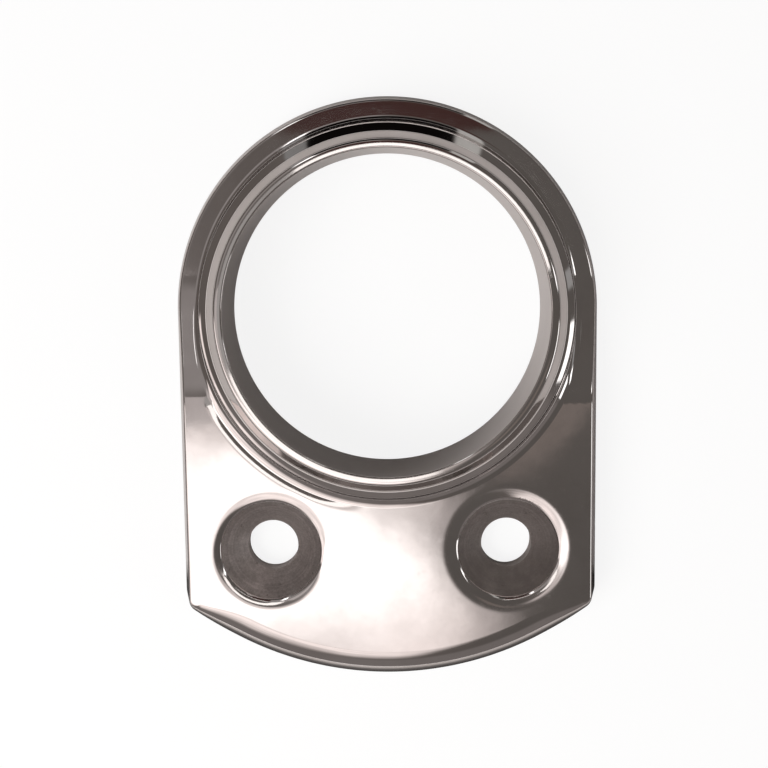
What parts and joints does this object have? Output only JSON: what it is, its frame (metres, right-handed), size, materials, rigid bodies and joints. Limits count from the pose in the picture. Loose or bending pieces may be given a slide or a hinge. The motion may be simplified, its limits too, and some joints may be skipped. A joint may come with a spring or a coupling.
{
  "type": "fairlead chock",
  "caption": "Flat-mounted fairlead chock: a D-shaped cast base with countersunk screw holes, and a turned ring with a rolled lip that guides a rope through its bore.",
  "frame": {"origin": "on the mounting face, midway between the two screw holes", "axes": "+Z out of the mounting face along the bore, +Y from the screw holes towards the arch, +X across"},
  "size_m": [0.07, 0.0971, 0.0164],
  "materials": {
    "polished_casting": "polished",
    "polished_ring": "polished"
  },
  "bodies": {
    "root": {"base_casting": "polished_casting", "rope_ring": "polished_ring"}
  },
  "joints": []
}
